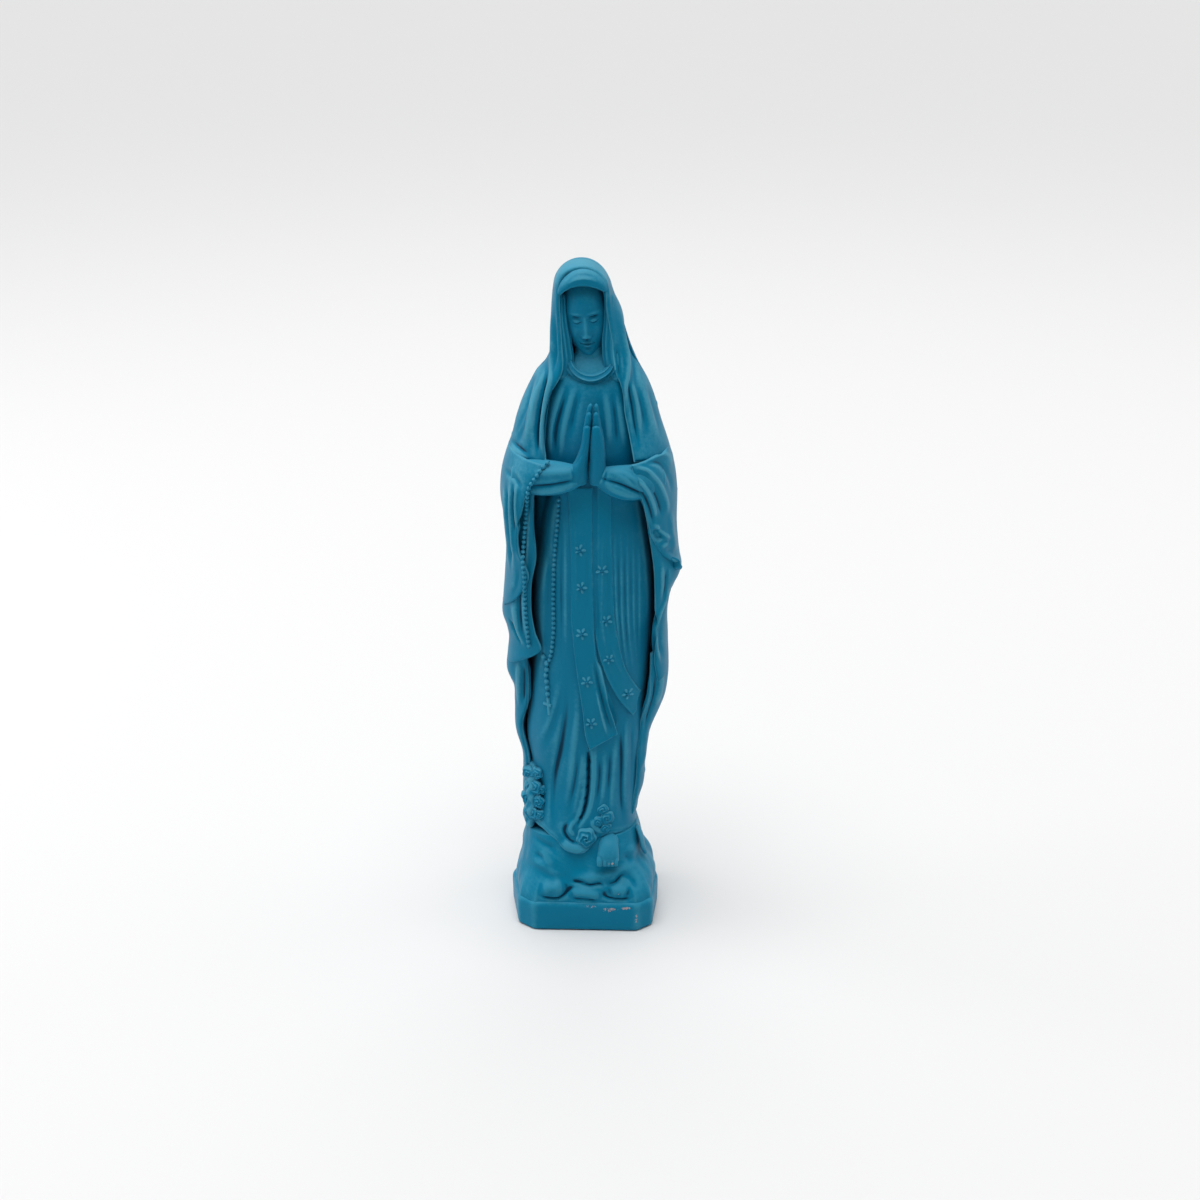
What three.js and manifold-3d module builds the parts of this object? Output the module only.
// Moulded devotional figurine: a standing, veiled woman in prayer on a rocky mound and a ten-sided plinth.
// Millimetres, +Z up, origin on the resting face at the middle of the plinth, the figure faces -Y.
// "Depth" is the distance in front of the parting plane y = 0, so a point at depth d lies at y = -d.
// Right and left are the figure's own: her right hand is on the -X side.

import * as THREE from "three";
import { mergeVertices } from "three/addons/utils/BufferGeometryUtils.js";
import Module from "manifold-3d";

const wasm = await Module();
wasm.setup();

// Driving dimensions
const HEIGHT = 150; // resting face to the crown of the veil
const PLINTH_HALF_WIDTH = 16.9; // at the parting plane
const PLINTH_HALF_DEPTH = 15.5;
const PLINTH_HEIGHT = 6.4;
const WALL = 1.8; // moulded wall of the shells
const GAP = 0.3; // joint line between neighbouring pieces
const HALF_GAP = GAP / 2;
const CLOTH = 0.9; // thickness of the sash, the collar and the forehead veil
const BEAD_RADIUS = 0.42;
const BEAD_PITCH = 1.35;
const HEM_HEIGHT = 19.4; // where the robe meets the mound
const MANTLE_FOOT = 26; // lower end of the mantle's back
const WAIST = 102; // joint between robe and bodice, behind the sleeves
const COLLAR_HEIGHT = 126.4; // top of the bodice
const BURIED = 30; // reach of a cutting prism behind and in front of the figure

// Paint on every moulding, in the tones that the pieces take
const paint = (color, roughness = 0.48) =>
  new THREE.MeshStandardMaterial({ color, roughness, metalness: 0 });
const PAINT = {
  cloth: paint(0x0e6f8f),
  robe: paint(0x11708f),
  skin: paint(0x17789a),
  ground: paint(0x0f7296),
  trim: paint(0x1a7d9e, 0.42),
  underside: paint(0xcfc6c2, 0.6),
};

const figurine = new THREE.Group();

// ---------------------------------------------------------------- helpers

// A smooth function through [at, value] pairs in rising order: cubic pieces with averaged slopes.
function profile(points) {
  const slope = points.map((p, i) => {
    const a = points[Math.max(i - 1, 0)];
    const b = points[Math.min(i + 1, points.length - 1)];
    return (b[1] - a[1]) / (b[0] - a[0]);
  });
  return (at) => {
    const last = points.length - 1;
    if (at <= points[0][0]) return points[0][1];
    if (at >= points[last][0]) return points[last][1];
    let i = 0;
    while (at > points[i + 1][0]) i += 1;
    const [x0, y0] = points[i];
    const [x1, y1] = points[i + 1];
    const h = x1 - x0;
    const t = (at - x0) / h;
    return (
      y0 * (1 + 2 * t) * (1 - t) ** 2 +
      slope[i] * h * t * (1 - t) ** 2 +
      y1 * t * t * (3 - 2 * t) +
      slope[i + 1] * h * t * t * (t - 1)
    );
  };
}

// A geometry as a manifold solid, turned right side out.
function solid(geometry) {
  const bare = geometry.clone();
  bare.deleteAttribute("normal");
  bare.deleteAttribute("uv");
  const merged = mergeVertices(bare, 1e-4);
  const triVerts = new Uint32Array(merged.index.array);
  const vertProperties = merged.attributes.position.array;
  const make = () => new wasm.Manifold(new wasm.Mesh({ numProp: 3, vertProperties, triVerts }));
  const made = make();
  if (made.volume() > 0) return made;
  for (let i = 0; i < triVerts.length; i += 3)
    [triVerts[i], triVerts[i + 1]] = [triVerts[i + 1], triVerts[i]];
  return make();
}

function geometryOf(manifold) {
  const mesh = manifold.getMesh();
  return new THREE.BufferGeometry()
    .setAttribute("position", new THREE.BufferAttribute(mesh.vertProperties, 3))
    .setIndex(new THREE.BufferAttribute(mesh.triVerts, 1));
}

// Adds a solid to the figurine as a named mesh.
function add(name, manifold, material) {
  const geometry = geometryOf(manifold);
  geometry.computeVertexNormals();
  const mesh = new THREE.Mesh(geometry, material);
  mesh.name = name;
  figurine.add(mesh);
  return manifold;
}

// A closed wall between two surfaces given as (u, v) -> [x, y, z], u and v from 0 to 1.
function wall(outer, inner, nu, nv) {
  const position = [];
  const index = [];
  const at = (side, i, j) => side * (nu + 1) * (nv + 1) + j * (nu + 1) + i;
  for (const surface of [outer, inner])
    for (let j = 0; j <= nv; j += 1)
      for (let i = 0; i <= nu; i += 1) position.push(...surface(i / nu, j / nv));
  const quad = (a, b, c, d) => index.push(a, b, c, a, c, d);
  for (let j = 0; j < nv; j += 1)
    for (let i = 0; i < nu; i += 1) {
      quad(at(0, i, j), at(0, i + 1, j), at(0, i + 1, j + 1), at(0, i, j + 1));
      quad(at(1, i, j), at(1, i, j + 1), at(1, i + 1, j + 1), at(1, i + 1, j));
    }
  for (let i = 0; i < nu; i += 1) {
    quad(at(0, i + 1, 0), at(0, i, 0), at(1, i, 0), at(1, i + 1, 0));
    quad(at(0, i, nv), at(0, i + 1, nv), at(1, i + 1, nv), at(1, i, nv));
  }
  for (let j = 0; j < nv; j += 1) {
    quad(at(0, 0, j), at(0, 0, j + 1), at(1, 0, j + 1), at(1, 0, j));
    quad(at(0, nu, j + 1), at(0, nu, j), at(1, nu, j), at(1, nu, j + 1));
  }
  const geometry = new THREE.BufferGeometry()
    .setAttribute("position", new THREE.Float32BufferAttribute(position, 3))
    .setIndex(index);
  return solid(geometry);
}

// A straight prism through the figure along Y, over an outline of [x, z] points.
function prism(outline, near = BURIED, far = BURIED) {
  const shape = new THREE.Shape(outline.map(([x, z]) => new THREE.Vector2(x, z)));
  const geometry = new THREE.ExtrudeGeometry(shape, { depth: near + far, bevelEnabled: false });
  geometry.rotateX(Math.PI / 2).translate(0, far, 0);
  return solid(geometry);
}

// A slab over an outline, between two depths given as functions of x and z.
function relief(outline, front, back, step = 2.2) {
  const xs = outline.map((p) => p[0]);
  const zs = outline.map((p) => p[1]);
  const [x0, x1] = [Math.min(...xs) - 0.2, Math.max(...xs) + 0.2];
  const [z0, z1] = [Math.min(...zs) - 0.2, Math.max(...zs) + 0.2];
  const surface = (depth) => (u, v) => {
    const x = x0 + (x1 - x0) * u;
    const z = z0 + (z1 - z0) * v;
    return [x, -depth(x, z), z];
  };
  const nu = Math.max(2, Math.round((x1 - x0) / step));
  const nv = Math.max(2, Math.round((z1 - z0) / step));
  return wall(surface(front), surface(back), nu, nv).intersect(prism(outline));
}

// The same solid moved by a joint line in one direction.
const moved = (manifold, x, y, z) => solid(geometryOf(manifold).translate(x, y, z));

// The largest single body of a solid, for when a cut leaves chips behind.
const largest = (manifold) =>
  manifold.decompose().reduce((best, one) => (one.volume() > best.volume() ? one : best));

// Cuts a piece clear of its neighbours, with a joint line in front of them and at their sides.
function fitted(piece, ...neighbours) {
  const steps = [[0, 0, 0], [0, -GAP, 0], [GAP, 0, 0], [-GAP, 0, 0], [0, 0, GAP], [0, 0, -GAP]];
  const cuts = neighbours.flatMap((one) => steps.map((step) => moved(one, ...step)));
  return largest(cuts.reduce((left, cut) => left.subtract(cut), piece));
}

// An egg-shaped solid: a sphere scaled to three half-axes.
function egg(centre, half, around = 14, up = 8, turn = 0) {
  const geometry = new THREE.SphereGeometry(1, around, up).scale(...half);
  geometry.rotateX(Math.PI / 2).rotateY(turn).translate(...centre);
  return solid(geometry);
}

// A closed solid through rings of points, ringAt(t) giving a function of the angle, with flat ends.
function loft(ringAt, sides, rings) {
  const position = [];
  const index = [];
  for (let j = 0; j <= rings; j += 1) {
    const ring = ringAt(j / rings);
    for (let i = 0; i < sides; i += 1) position.push(...ring((2 * Math.PI * i) / sides));
  }
  const at = (j, i) => j * sides + (i % sides);
  for (let j = 0; j < rings; j += 1)
    for (let i = 0; i < sides; i += 1) {
      index.push(at(j, i), at(j, i + 1), at(j + 1, i + 1));
      index.push(at(j, i), at(j + 1, i + 1), at(j + 1, i));
    }
  for (let i = 1; i < sides - 1; i += 1) {
    index.push(at(0, 0), at(0, i + 1), at(0, i));
    index.push(at(rings, 0), at(rings, i), at(rings, i + 1));
  }
  const geometry = new THREE.BufferGeometry()
    .setAttribute("position", new THREE.Float32BufferAttribute(position, 3))
    .setIndex(index);
  return solid(geometry);
}

// A closed limb through [x, depth, z, half width, half thickness] stations.
function limb(stations, sides = 10, rings = 10) {
  const part = (k) => profile(stations.map((s, i) => [i / (stations.length - 1), s[k]]));
  const [x, depth, z, width, thickness] = [0, 1, 2, 3, 4].map(part);
  const centre = (t) => new THREE.Vector3(x(t), -depth(t), z(t));
  return loft((t) => {
    const along = centre(Math.min(t + 0.01, 1)).sub(centre(Math.max(t - 0.01, 0))).normalize();
    const side = new THREE.Vector3(0, 1, 0).cross(along).normalize();
    const ahead = along.clone().cross(side);
    return (angle) =>
      centre(t)
        .addScaledVector(side, width(t) * Math.cos(angle))
        .addScaledVector(ahead, thickness(t) * Math.sin(angle))
        .toArray();
  }, sides, rings);
}

// ---------------------------------------------------------------- surfaces of the figure

// The mantle's outline seen from the front, by height.
const RIGHT_OUTLINE = profile([
  [24, -13.6], [34, -14.2], [44, -15.4], [53, -15.7], [59, -17.3], [64, -17],
  [71, -18.2], [80, -17.5], [90, -17], [100, -18.2], [104, -17.9], [112, -15.4],
  [120, -13], [126, -10], [129, -7.5], [136, -6.8], [142, -6.6], [146, -5.7],
  [148.6, -3.8], [HEIGHT, -1.2],
]);
const LEFT_OUTLINE = profile([
  [24, 11.8], [34, 13.7], [42, 14.3], [48, 16.8], [55, 18.6], [66, 18.6],
  [75, 18.8], [82.5, 21.6], [90, 20.3], [100, 20.2], [106, 19.3], [112, 17.9],
  [120, 15.3], [126, 12.7], [130, 10.6], [136, 8.6], [142, 6.9], [146, 5.2],
  [148.6, 3.6], [HEIGHT, 0.9],
]);
const MANTLE_FRONT = profile([
  [24, 9], [60, 10], [90, 11.8], [98, 14], [104, 15], [109, 13.6], [113, 10.8],
  [120, 8.2], [127, 7.2], [138, 7.6], [144, 7], [148, 4], [HEIGHT, 1.6],
]);
const MANTLE_BACK = profile([
  [24, 10.6], [60, 11], [100, 11.6], [112, 10.6], [122, 9], [130, 8.2],
  [140, 8.2], [146, 5.8], [149, 3], [HEIGHT, 1.6],
]);

// The draped form of the mantle between two heights, inset from its outer surface.
function mantleForm(inset, z0, z1, sides, rings) {
  return loft((t) => {
    const z = z0 + (z1 - z0) * t;
    const middle = (LEFT_OUTLINE(z) + RIGHT_OUTLINE(z)) / 2;
    const reach = Math.max((LEFT_OUTLINE(z) - RIGHT_OUTLINE(z)) / 2 - inset, 0.2);
    return (angle) => {
      const sine = Math.sin(angle);
      const depth = Math.max((sine > 0 ? MANTLE_BACK(z) : MANTLE_FRONT(z)) - inset, 0.2);
      return [
        middle + reach * Math.cos(angle),
        Math.sign(sine) * depth * Math.abs(sine) ** 0.85,
        z,
      ];
    };
  }, sides, rings);
}

// One half of the moulded mantle, before (-1) or behind (+1) the parting plane.
function mantleShell(side, z0, z1, sides, rings, thickness = WALL) {
  const inner = mantleForm(thickness, z0 - 1, z1 > HEIGHT - 1 ? HEIGHT - thickness : z1 + 1, sides, rings);
  const half = new THREE.BoxGeometry(80, 40, 400).translate(0, side * (20 + HALF_GAP), 0);
  return mantleForm(0, z0, z1, sides, rings).subtract(inner).intersect(solid(half));
}

// The robe's front and the bodice, as depth over x and z.
const ROBE_FRONT = profile([[18, 12.2], [26, 11.2], [40, 10.6], [60, 11.2], [80, 11.6], [WAIST, 10.6]]);
const ROBE_HALF = profile([[18, 12.6], [24, 11], [40, 11.2], [60, 12.6], [80, 13.6], [WAIST, 13]]);
const ROBE_MIDDLE = profile([[18, 0], [40, -0.2], [60, 0.6], [80, 1], [WAIST, 1.2]]);
const BODICE_FRONT = profile([[WAIST, 10.2], [108, 9.4], [118, 8.4], [124, 6.8], [128, 5.6]]);

const FOLD_DEPTH = 0.45;
const FOLD_PITCH = 3.1; // from ridge to ridge across the robe

// Long folds that open out to the hem, fading under the sash and at the sides.
function folds(x, z) {
  const spread = 1 - 0.2 * ((WAIST - z) / WAIST);
  const lean = 0.03 * (60 - z);
  return FOLD_DEPTH * Math.cos((2 * Math.PI * (x * spread + lean)) / FOLD_PITCH);
}

// The robe without its folds, with them, and the smooth surface over their ridges.
const robeAcross = (x, z) => Math.min(Math.abs(x - ROBE_MIDDLE(z)) / ROBE_HALF(z), 0.995);
const robeBase = (x, z) => ROBE_FRONT(z) * Math.sqrt(1 - robeAcross(x, z) ** 2.3);
const robeDepth = (x, z) => robeBase(x, z) + folds(x, z) * (1 - robeAcross(x, z) ** 4);
const robeRidges = (x, z) => robeBase(x, z) + FOLD_DEPTH * (1 - robeAcross(x, z) ** 4);

function bodiceDepth(x, z) {
  return BODICE_FRONT(z) * Math.sqrt(Math.max(1 - ((x - 1.4) / 15) ** 2, 0));
}

// ---------------------------------------------------------------- ground: plinth, plate, mound, rocks

function plinthOutline(inset) {
  const w = PLINTH_HALF_WIDTH - inset;
  const d = PLINTH_HALF_DEPTH - inset;
  const quarter = [[w, 0], [w - 1.7, d - 3.3], [w - 5.4, d]];
  const half = [...quarter, ...quarter.map(([x, y]) => [-x, y]).reverse()];
  return [...half, ...half.slice(1, -1).map(([x, y]) => [x, -y]).reverse()];
}

function plate(outline, hole, z0, z1) {
  const shape = new THREE.Shape(outline.map(([x, y]) => new THREE.Vector2(x, y)));
  if (hole) shape.holes.push(new THREE.Path(hole.map(([x, y]) => new THREE.Vector2(x, y))));
  const geometry = new THREE.ExtrudeGeometry(shape, { depth: z1 - z0, bevelEnabled: false });
  return solid(geometry.translate(0, 0, z0));
}

function makeGround() {
  add("plinth", plate(plinthOutline(0), plinthOutline(2.2), 0, PLINTH_HEIGHT), PAINT.ground);
  add("base_plate", plate(plinthOutline(2.2 + GAP), null, 0, 1.6), PAINT.underside);
  const reach = profile([[0, 15.9], [0.35, 15], [0.7, 13.9], [1, 13.2]]);
  const depth = profile([[0, 14.7], [0.35, 14], [0.7, 12.6], [1, 11.4]]);
  const round = (value) => Math.sign(value) * Math.abs(value) ** 0.75;
  // The mound's outer form, inset for the hollow that it is moulded with.
  const heap = (inset, z0, z1) =>
    loft((t) => (angle) => [
      (reach(t) - inset) * round(Math.cos(angle)),
      (depth(t) - inset) * round(Math.sin(angle)),
      z0 + (z1 - z0) * t,
    ], 28, 5);
  const foot = PLINTH_HEIGHT + GAP;
  const hollow = heap(WALL + 1.2, foot - 1, HEM_HEIGHT - GAP - WALL);
  const mound = add("rock_mound", heap(0, foot, HEM_HEIGHT - GAP).subtract(hollow), PAINT.ground);
  const rocks = {
    right_boulder: [[-6.8, -13.4, 9.3], [4, 1.7, 2.2]],
    middle_boulder: [[0.6, -13.9, 8.9], [3, 1.5, 1.9]],
    left_boulder: [[8, -13.3, 9.6], [3.2, 1.7, 2.5]],
  };
  for (const [name, [centre, half2]] of Object.entries(rocks))
    add(name, fitted(egg(centre, half2, 10, 6), mound), PAINT.ground);
  const ledge = add("foot_ledge", fitted(egg([3.6, -13, 14], [5.4, 1.6, 2.2], 12, 6), mound), PAINT.ground);
  add("side_leaf", fitted(egg([14.2, -4.6, 12], [1, 2.2, 3], 8, 6), mound), PAINT.ground);
  return { mound, ledge };
}

// ---------------------------------------------------------------- clothes

const FACE_OPENING = [
  [-11, 105], [-8.4, 109], [-7.5, 114.4], [-6.8, 121], [-5.3, 126.4], [-3.6, 130], [-3.9, 133],
  [-4.9, 138.2], [-4.9, 142.4], [-3.4, 145.4], [-1.2, 146.9], [1.6, 146.9], [3.6, 145.8],
  [5, 143.2], [6, 138.3], [6.9, 133], [7.3, 128.7], [8, 124.4], [9, 120.7], [10.3, 116.8],
  [11.4, 113], [11.7, 108], [14, 105],
];
const RIGHT_PANEL = [
  [-24, 30.5], [-12.4, 30.5], [-12.2, 38], [-12.6, 46], [-13, 54], [-12.4, 61], [-9.3, 64.2],
  [-10.7, 70.4], [-11.3, 75], [-11.7, 80.8], [-10, 85], [-10.5, 90], [-10.2, 95.6],
  [-10.4, 102], [-9.4, 106], [-8.8, 109.2], [-24, 109.2],
];
const LEFT_PANEL = [
  [26, 30.5], [11.7, 30.5], [12.3, 38], [13.6, 46], [14.9, 54.3], [15.6, 68.4], [16, 77.7],
  [15.3, 86.8], [14.1, 93.6], [13.4, 100.3], [12.2, 105], [10.6, 109.2], [26, 109.2],
];

function makeMantle(robeRoom) {
  const back = mantleShell(1, MANTLE_FOOT, HEIGHT, 28, 26);
  const hanging = mantleShell(-1, 30, 109.2, 32, 18);
  add("mantle_back", back, PAINT.cloth);
  const hood = mantleShell(-1, 109.5, HEIGHT, 28, 14, 1.5);
  const veil = add("veil_front", largest(hood.subtract(prism(FACE_OPENING))), PAINT.cloth);
  const panel = (outline) => largest(hanging.intersect(prism(outline)).subtract(robeRoom));
  const right = add("mantle_right_panel", panel(RIGHT_PANEL), PAINT.cloth);
  const left = add("mantle_left_panel", panel(LEFT_PANEL), PAINT.cloth);
  return { right, left, veil };
}

function makeRobe() {
  // A half shell of the robe, inset from its outer surface; its columns stand closer at the sides.
  const surface = (inset, z0, z1, side) => (u, v) => {
    const z = z0 + (z1 - z0) * v;
    const x = ROBE_MIDDLE(z) + ROBE_HALF(z) * Math.sin((u - 0.5) * Math.PI);
    const depth = (side < 0 ? robeDepth : robeBase)(x, z);
    const narrow = 1 - inset / ROBE_HALF(z);
    return [
      ROBE_MIDDLE(z) + (x - ROBE_MIDDLE(z)) * narrow,
      side * Math.max(HALF_GAP + depth - inset, HALF_GAP),
      z,
    ];
  };
  const part = (z0, z1, side, nu, nv, outside = 0) =>
    wall(surface(-outside, z0, z1, side), surface(WALL, z0, z1, side), nu, nv);
  const robe = add("robe_front", part(HEM_HEIGHT, WAIST - HALF_GAP, -1, 36, 14), PAINT.robe);
  add("robe_hem_back", part(HEM_HEIGHT, MANTLE_FOOT - GAP, 1, 14, 2), PAINT.robe);
  const room = part(HEM_HEIGHT, WAIST, -1, 36, 14, GAP);
  const chest = [
    [-9.2, WAIST + HALF_GAP], [-8.8, 106], [-7.2, 110], [-6.8, 115], [-6, 121], [-4.6, 125.4],
    [-2.2, COLLAR_HEIGHT], [6, COLLAR_HEIGHT], [7.4, 124], [8.4, 120.6], [9.6, 116.6],
    [10.6, 112], [11, 107], [11.4, WAIST + HALF_GAP],
  ];
  const behind = (x, z) => bodiceDepth(x, z) - WALL;
  const bodice = add("bodice", relief(chest, bodiceDepth, behind, 2.6), PAINT.robe);
  return { robe, room, bodice };
}

// A trim that lies on a surface with a joint line under it.
const lying = (outline, support, thickness = CLOTH, step = 2.2, lift = GAP) =>
  relief(outline, (x, z) => support(x, z) + lift + thickness, (x, z) => support(x, z) + lift, step);

const RIGHT_TAIL = [
  [-2.9, WAIST - 0.4], [-2.6, 84], [-2.5, 73.6], [-1.7, 64.3], [-0.8, 57.3], [0, 51.3], [1.5, 42.6],
  [4.2, 43.6], [8.1, 46], [6.6, 51.4], [5.1, 56.2], [3.8, 62], [2.7, 69], [2.4, 78.3], [2.2, 88],
  [2.2, WAIST - 0.4],
];
const LEFT_TAIL = [
  [2.6, WAIST - 0.4], [2.6, 88], [2.8, 78.3], [3.1, 70.4], [4.3, 63.2], [5.9, 58.5], [7.9, 54.3],
  [11, 49.8], [12.3, 52.5], [13.1, 55.3], [11.6, 57.4], [10.1, 61], [8.5, 66.8], [7.4, 73.7],
  [6.8, 84], [6.6, WAIST - 0.4],
];
const STARS = [
  [-0.5, 89.6], [-0.1, 81.2], [0, 70.6], [1.2, 59.6], [3, 49.9], [4.8, 85.1], [5.2, 74.2],
  [6.3, 64.6], [9.9, 55.7],
];

function starOutline([x, z], tip = 1.15, waist = 0.6, points = 5) {
  return Array.from({ length: 2 * points }, (_, i) => {
    const radius = i % 2 ? waist : tip;
    const angle = Math.PI / 2 + (Math.PI * i) / points;
    return [x + radius * Math.cos(angle), z + radius * Math.sin(angle)];
  });
}

function makeSash(robeRoom) {
  const tail = (outline) => largest(lying(outline, robeRidges, CLOTH, 1.9).subtract(robeRoom));
  add("sash_right_tail", tail(RIGHT_TAIL), PAINT.cloth);
  add("sash_left_tail", tail(LEFT_TAIL), PAINT.cloth);
  const onSash = (x, z) => robeRidges(x, z) + GAP + CLOTH;
  STARS.forEach((at, i) =>
    add(`star_${i + 1}`, lying(starOutline(at), onSash, 0.45, 1.3), PAINT.trim),
  );
}

// ---------------------------------------------------------------- head, arms and hands

function makeHead(hood) {
  const skull = egg([0.8, -0.9, 139.4], [4.7, 5.6, 6.9], 16, 10);
  const neck = limb([[1.4, 1.6, 126.8, 3.1, 3], [1.3, 1.7, 131, 2.9, 2.9], [1, 1.6, 136, 2.8, 2.8]], 12, 4);
  const nose = egg([0.9, -6.7, 138.2], [0.6, 0.8, 1.2], 8, 5);
  const head = add("head", skull.add(neck).add(nose), PAINT.skin);
  const band = [
    [-4.4, 143.4], [-3, 144.8], [-1.2, 145.6], [1.7, 145.5], [4.9, 145.1], [4.9, 146], [3.2, 147.2],
    [1.4, 147.8], [-0.6, 147.8], [-3, 146.4],
  ];
  const brow = (x, z) =>
    0.9 + 6.2 * Math.sqrt(Math.max(1 - ((x - 0.8) / 6) ** 2 - ((z - 139.4) / 8.4) ** 2, 0.02));
  const veil = relief(band, (x, z) => brow(x, z) + 0.4, (x, z) => brow(x, z) - 1.6, 1.4);
  add("forehead_veil", fitted(veil, head, hood), PAINT.cloth);
  const collar = [
    [-3.4, 126.2], [-2.2, 124.9], [0.2, 123.9], [2.4, 123.7], [4.8, 124.6], [6.9, 126.2],
    [5.8, 126.2], [4.2, 125.5], [2.1, 124.8], [0, 125], [-1.6, 125.7], [-2.2, 126.2],
  ];
  add("collar", lying(collar, bodiceDepth, CLOTH, 1.6), PAINT.trim);
}

function makeArms({ right: rightPanel, left: leftPanel, veil }, { bodice }) {
  const chest = solid(geometryOf(bodice).translate(0, -GAP, 0));
  const right = limb([[-11, 9.6, 105.2, 4, 3], [-6.6, 12.2, 106.2, 3.9, 3.2], [-1.2, 13.4, 108.1, 2.9, 2.4]]);
  const left = limb([[14, 9.6, 104.2, 4, 3], [10, 12.2, 105.2, 3.9, 3.2], [4.8, 13.4, 107.8, 2.9, 2.4]]);
  const rightHand = limb([
    [0.2, 13.6, 107.2, 1.3, 2.2], [0.5, 13.2, 111, 1.35, 2.6], [0.75, 12.6, 116, 1.3, 2.1],
    [1.35, 12.2, 122, 0.55, 0.8],
  ], 10, 9);
  const leftHand = limb([
    [3.6, 13.6, 107.2, 1.3, 2.2], [3.3, 13.2, 111, 1.35, 2.6], [3.05, 12.6, 116, 1.3, 2.1],
    [2.45, 12.2, 122, 0.55, 0.8],
  ], 10, 9);
  const [near, far] = [1.9 - HALF_GAP, 1.9 + HALF_GAP];
  const middle = prism([[near, 100], [near, 125], [far, 125], [far, 100]]);
  const rightPalm = largest(rightHand.subtract(middle).subtract(chest));
  const leftPalm = largest(leftHand.subtract(middle).subtract(chest));
  add("right_hand", rightPalm, PAINT.skin);
  add("left_hand", leftPalm, PAINT.skin);
  const sleeve = (arm, ...neighbours) => fitted(arm.subtract(chest).subtract(middle), ...neighbours);
  add("right_sleeve", sleeve(right, rightPalm, rightPanel, veil), PAINT.robe);
  add("left_sleeve", sleeve(left, leftPalm, leftPanel, veil), PAINT.robe);
}

// ---------------------------------------------------------------- rosary, roses, foot

// A string of beads as one body: a round section along a route, swelling at each bead.
function beads(route, support, lift) {
  const points = route.map(([x, z]) => new THREE.Vector3(x, -(support(x, z) + lift), z));
  const curve = new THREE.CatmullRomCurve3(points);
  const count = Math.round(curve.getLength() / BEAD_PITCH);
  const sides = 5;
  const rings = count * 2;
  const stations = Array.from({ length: rings + 1 }, (_, i) => {
    const at = curve.getPointAt(i / rings);
    const radius = i % 2 ? BEAD_RADIUS : BEAD_RADIUS * 0.42;
    return [at.x, -at.y, at.z, radius, radius];
  });
  return limb(stations, sides, rings);
}

const SLEEVE_STRAND = [
  [-11.6, 102.6], [-11.8, 96], [-12.3, 90], [-12.5, 84], [-12.6, 78], [-12.3, 72], [-12, 66],
];
const ROBE_STRAND = [[-5, WAIST - 1], [-5.4, 91.8], [-6, 84], [-6.2, 76], [-6.3, 69], [-6.8, 64]];
const PENDANT = [[-7.2, 62], [-7.7, 58.6], [-7.6, 55]];
const CRUCIFIX = [
  [-7.9, 49.6], [-7.1, 49.6], [-7.1, 52.4], [-6.3, 52.4], [-6.3, 53.2], [-7.1, 53.2], [-7.1, 54.3],
  [-7.9, 54.3], [-7.9, 53.2], [-8.7, 53.2], [-8.7, 52.4], [-7.9, 52.4],
];

function panelDepth(x, z) {
  const middle = (LEFT_OUTLINE(z) + RIGHT_OUTLINE(z)) / 2;
  const reach = (LEFT_OUTLINE(z) - RIGHT_OUTLINE(z)) / 2;
  const across = Math.min(Math.abs(x - middle) / reach, 1);
  return HALF_GAP + MANTLE_FRONT(z) * Math.sqrt(1 - across * across) ** 0.85;
}

function makeRosary() {
  const lift = GAP + BEAD_RADIUS;
  add("rosary_sleeve_strand", beads(SLEEVE_STRAND, panelDepth, lift + 0.15), PAINT.trim);
  add("rosary_robe_strand", beads(ROBE_STRAND, robeRidges, lift), PAINT.trim);
  add("rosary_pendant", beads(PENDANT, robeRidges, lift), PAINT.trim);
  add("crucifix", lying(CRUCIFIX, robeRidges, 0.5, 1.4), PAINT.trim);
}

// A rose: rings of petals as one turned body that stands on the robe.
function rose(x, z, radius) {
  const outline = [
    [0, -0.5], [0.7, -0.5], [1, -0.1], [0.92, 0.28], [0.7, 0.16], [0.58, 0.46], [0.36, 0.3],
    [0.2, 0.58], [0, 0.5],
  ].map(([r, y]) => new THREE.Vector2(r * radius, y * radius));
  const geometry = new THREE.LatheGeometry(outline, 10).rotateX(Math.PI);
  return solid(geometry.translate(x, -(robeDepth(x, z) + GAP + radius / 2), z));
}

function makeRoses({ mound, ledge }, { robe, room: robeRoom }, rightPanel) {
  add("right_foot_rose", largest(rose(-0.4, 21.3, 1.7).subtract(robeRoom)), PAINT.trim);
  add("left_foot_rose", largest(rose(4.4, 25.4, 1.7).subtract(robeRoom)), PAINT.trim);
  const bush = limb([
    [-11.6, 6, 21.2, 1.5, 4.5], [-11.2, 6, 26, 2.4, 5], [-11, 5.5, 31, 2.2, 5], [-10.8, 5, 35.2, 1, 3.4],
  ], 8, 6);
  add("rose_bush", fitted(bush.subtract(robeRoom), rightPanel, robe, mound), PAINT.trim);
  const foot = limb([
    [6.4, 10.4, 20.2, 1.6, 1.2], [6.2, 13, 18.9, 2.2, 1.3], [6.1, 15.2, 17.7, 2, 0.9],
  ], 10, 6);
  add("left_foot", fitted(foot.subtract(robeRoom), mound, ledge), PAINT.skin);
}

const ground = makeGround();
const gown = makeRobe();
const mantle = makeMantle(gown.room);
makeSash(gown.room);
makeHead(mantle.veil);
makeArms(mantle, gown);
makeRosary();
makeRoses(ground, gown, mantle.right);

export default figurine;
